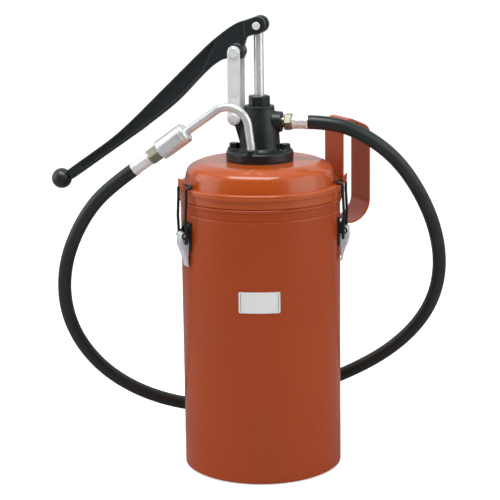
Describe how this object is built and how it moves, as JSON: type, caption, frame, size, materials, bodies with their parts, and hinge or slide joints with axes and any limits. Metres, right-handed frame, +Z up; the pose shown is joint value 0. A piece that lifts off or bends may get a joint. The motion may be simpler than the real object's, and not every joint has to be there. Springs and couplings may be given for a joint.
{
  "type": "gear oil pump",
  "caption": "Hand-lever gear oil pump on a cylindrical latched bucket, with a domed lid, a rubber hose and a bent nozzle stowed in the pump head.",
  "frame": {"origin": "centre of the bucket's flat base, on the bucket axis", "axes": "+Z up along the bucket axis and plunger rod, -X towards the lever's ball, +X towards the hose outlet"},
  "size_m": [0.5687, 0.2931, 0.6542],
  "materials": {
    "bucket_paint": "gloss orange-red stoved enamel",
    "black_casting": "semi-gloss black enamel on rough cast iron",
    "bright_zinc": "bright zinc plate",
    "polished_rod": "ground and polished steel",
    "yellow_zinc": "yellow passivated brass-toned fitting",
    "crimp_zinc": "pale satin zinc crimp ferrule",
    "latch_zinc": "bright zinc pressing",
    "latch_dark": "dark oxide wire",
    "hose_rubber": "black rubber cover",
    "seal_rubber": "black nitrile",
    "label_face": "blank white printed plate",
    "cup_leather": "oiled leather",
    "plain_steel": "plain machined steel"
  },
  "bodies": {
    "bucket": {"bucket_shell": "bucket_paint", "bucket_base": "bucket_paint", "lid_dome": "bucket_paint", "lid_lugs": "bucket_paint", "carry_handle": "bucket_paint", "handle_rivets": "bucket_paint", "label_plate": "label_face", "lid_gasket": "seal_rubber", "backing_ring": "plain_steel", "head_gasket": "seal_rubber", "pump_head": "black_casting", "head_washers": "latch_dark", "head_bolts": "latch_dark", "rod_packing": "seal_rubber", "gland_nut": "black_casting", "link_base_pin": "bright_zinc", "link_base_pin_clip": "plain_steel", "pump_tube": "plain_steel", "foot_valve_body": "yellow_zinc", "ball_stop_pin": "plain_steel", "strainer": "plain_steel", "outlet_adapter": "yellow_zinc", "outlet_hose_nut": "yellow_zinc", "outlet_ferrule": "crimp_zinc", "hose": "hose_rubber", "nozzle_ferrule": "crimp_zinc", "nozzle_hose_nut": "yellow_zinc", "nozzle_sleeve": "bright_zinc", "nozzle_tube": "bright_zinc", "latch_bases": "latch_dark", "latch_rivets": "latch_zinc", "latch_pivot_pins": "latch_zinc"},
    "plunger": {"plunger_rod": "polished_rod", "rod_pin": "bright_zinc", "rod_pin_clip": "plain_steel", "piston_body": "yellow_zinc", "piston_cup": "cup_leather", "piston_nut": "yellow_zinc"},
    "pump_lever": {"lever_casting": "black_casting"},
    "links": {"link_near": "bright_zinc", "link_far": "bright_zinc", "fulcrum_pin": "bright_zinc", "fulcrum_pin_clip": "plain_steel"},
    "discharge_ball": {"piston_ball": "plain_steel"},
    "suction_ball": {"foot_ball": "plain_steel"},
    "latch_lever_right": {"latch_lever_right": "latch_zinc"},
    "latch_bail_right": {"latch_bail_right": "latch_dark"},
    "latch_lever_left": {"latch_lever_left": "latch_zinc"},
    "latch_bail_left": {"latch_bail_left": "latch_dark"},
    "latch_lever_rear": {"latch_lever_rear": "latch_zinc"},
    "latch_bail_rear": {"latch_bail_rear": "latch_dark"}
  },
  "joints": [
    {"name": "rod_slide", "type": "slide", "parent": "bucket", "child": "plunger", "axis": [0, 0, -1], "range_m": [0, 0.042]},
    {"name": "lever_hinge", "type": "hinge", "parent": "plunger", "child": "pump_lever", "pos_m": [0, 0, 0.641], "axis": [0, 1, 0], "range_deg": [0, 56.2]},
    {"name": "link_hinge", "type": "hinge", "parent": "bucket", "child": "links", "pos_m": [-0.0335, 0, 0.51], "axis": [0, -1, 0], "range_deg": [0, 10.7]},
    {"name": "discharge_ball_lift", "type": "slide", "parent": "plunger", "child": "discharge_ball", "axis": [0, 0, 1], "range_m": [0, 0.003]},
    {"name": "suction_ball_lift", "type": "slide", "parent": "bucket", "child": "suction_ball", "axis": [0, 0, 1], "range_m": [0, 0.003]},
    {"name": "latch_right_lever_hinge", "type": "hinge", "parent": "bucket", "child": "latch_lever_right", "pos_m": [0.123, 0, 0.352], "axis": [0, -1, 0], "range_deg": [0, 100]},
    {"name": "latch_right_bail_hinge", "type": "hinge", "parent": "latch_lever_right", "child": "latch_bail_right", "pos_m": [0.12185, 0, 0.34106], "axis": [0, -1, 0], "range_deg": [-91.4, 0]},
    {"name": "latch_left_lever_hinge", "type": "hinge", "parent": "bucket", "child": "latch_lever_left", "pos_m": [-0.09692, -0.07573, 0.352], "axis": [-0.6157, 0.788, 0], "range_deg": [0, 100]},
    {"name": "latch_left_bail_hinge", "type": "hinge", "parent": "latch_lever_left", "child": "latch_bail_left", "pos_m": [-0.09602, -0.07502, 0.34106], "axis": [-0.6157, 0.788, 0], "range_deg": [-91.4, 0]},
    {"name": "latch_rear_lever_hinge", "type": "hinge", "parent": "bucket", "child": "latch_lever_rear", "pos_m": [-0.04004, 0.1163, 0.352], "axis": [0.9455, 0.3256, 0], "range_deg": [0, 100]},
    {"name": "latch_rear_bail_hinge", "type": "hinge", "parent": "latch_lever_rear", "child": "latch_bail_rear", "pos_m": [-0.03967, 0.11521, 0.34106], "axis": [0.9455, 0.3256, 0], "range_deg": [-91.4, 0]}
  ],
  "couplings": [
    {"joint": "lever_hinge", "follows": "rod_slide", "rad_per_m": 23.316},
    {"joint": "link_hinge", "follows": "rod_slide", "rad_per_m": 4.41},
    {"joint": "latch_right_bail_hinge", "follows": "latch_right_lever_hinge", "ratio": -0.913},
    {"joint": "latch_left_bail_hinge", "follows": "latch_left_lever_hinge", "ratio": -0.913},
    {"joint": "latch_rear_bail_hinge", "follows": "latch_rear_lever_hinge", "ratio": -0.913}
  ]
}
